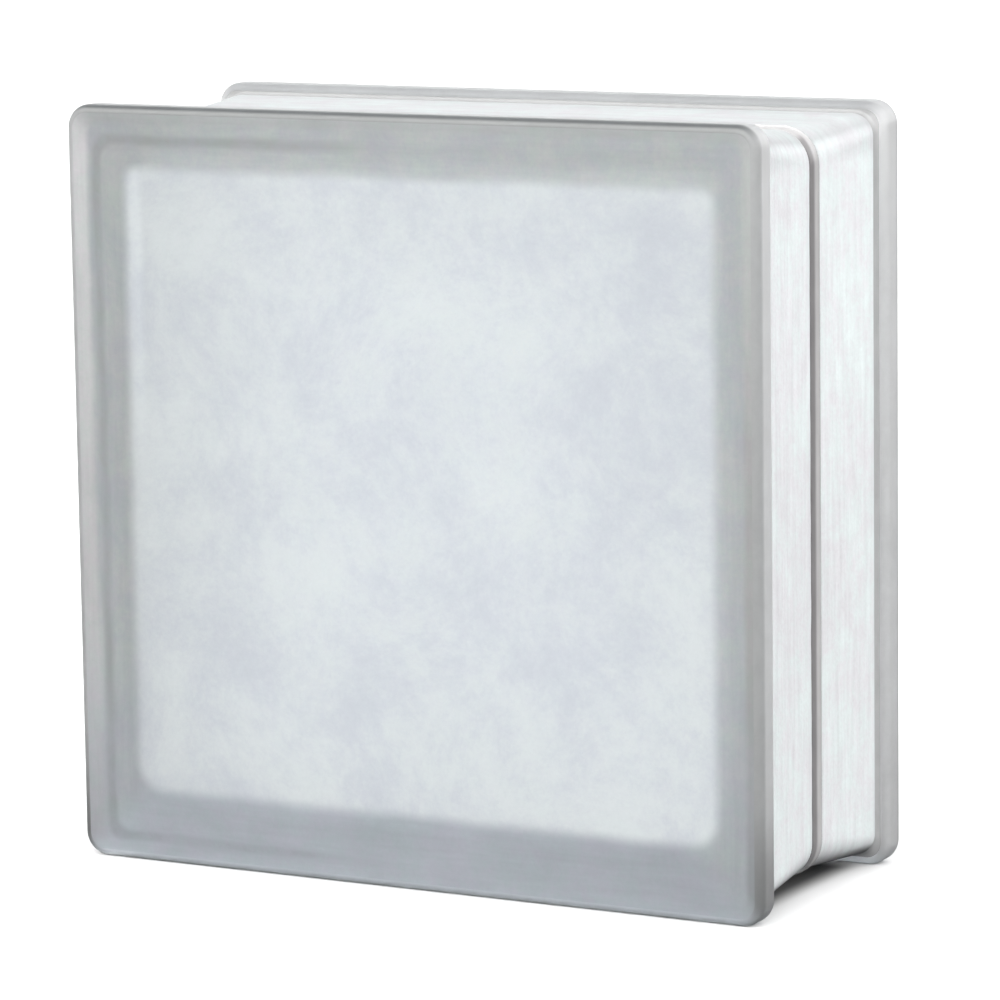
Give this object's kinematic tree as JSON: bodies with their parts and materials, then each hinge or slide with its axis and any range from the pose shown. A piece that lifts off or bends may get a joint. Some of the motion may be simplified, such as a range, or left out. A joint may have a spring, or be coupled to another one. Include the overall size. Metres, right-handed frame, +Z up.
{
  "type": "glass block",
  "caption": "Square hollow glass block with satin faces, a raised lip round each face, a central seam bead and a white-coated mortar channel.",
  "frame": {"origin": "centre of the underside, on the surface that the two lips stand on", "axes": "+Z up, +X along the width, +Y from the front face through the block to the back face"},
  "size_m": [0.19, 0.08, 0.19],
  "materials": {
    "satin_glass": "satin, softly etched, colourless to faintly grey-green",
    "white_coat": "matt white sprayed keying coat with a fine grain"
  },
  "bodies": {
    "root": {"front_shell": "satin_glass", "back_shell": "satin_glass", "front_edge_coat": "white_coat", "back_edge_coat": "white_coat"}
  },
  "joints": []
}
